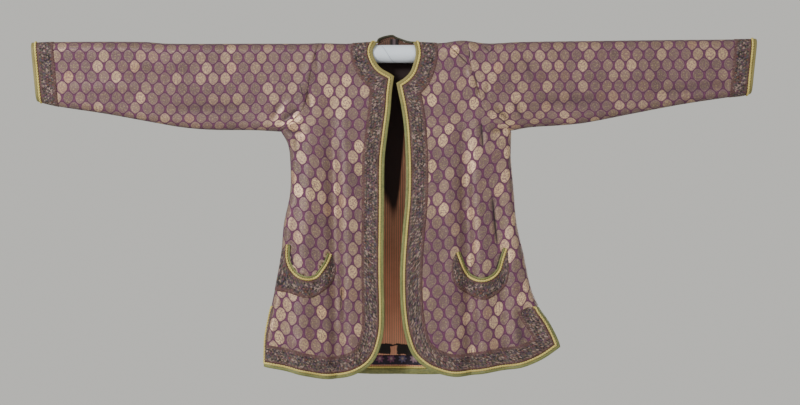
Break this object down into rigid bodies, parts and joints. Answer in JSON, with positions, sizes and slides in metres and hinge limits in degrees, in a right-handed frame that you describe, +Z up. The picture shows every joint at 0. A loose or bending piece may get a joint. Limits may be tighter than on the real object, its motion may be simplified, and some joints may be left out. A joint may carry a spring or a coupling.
{
  "type": "brocade coat hung on a rod",
  "caption": "Open-fronted long-sleeved brocade coat with woven borders, piped edges and U-shaped pocket slits, hung on a straight rod through its sleeves.",
  "frame": {"origin": "the rod's axis at its middle, where the coat is held up", "axes": "+X along the rod towards the wearer's left, +Y from the fronts to the back, +Z up"},
  "size_m": [1.5, 0.0791, 0.7131],
  "materials": {
    "brocade": "silk brocade with a metal-thread sheen",
    "border": "fine woven floral border",
    "piping": "yellow silk piping",
    "edging": "green silk edge binding",
    "lining": "striped silk lining",
    "rod": "tube wrapped in pale cloth"
  },
  "bodies": {
    "root": {"rod": "rod", "back": "brocade", "back_hem_edging": "edging", "back_hem_piping": "piping", "back_hem_border": "border", "back_neck_edging": "edging", "back_hem_inner_piping": "piping", "back_hem_facing": "border", "back_lining": "lining", "neck_loop": "border", "right_sleeve": "brocade", "right_front": "brocade", "right_front_edging": "edging", "right_front_piping": "piping", "right_front_border": "border", "right_pocket_border": "border", "right_pocket_piping": "piping", "right_pocket_edging": "edging", "right_pocket_back": "brocade", "right_cuff_edging": "edging", "right_cuff_piping": "piping", "right_cuff_border": "border", "left_sleeve": "brocade", "left_front": "brocade", "left_front_edging": "edging", "left_front_piping": "piping", "left_front_border": "border", "left_pocket_border": "border", "left_pocket_piping": "piping", "left_pocket_edging": "edging", "left_pocket_back": "brocade", "left_cuff_edging": "edging", "left_cuff_piping": "piping", "left_cuff_border": "border"}
  },
  "joints": []
}
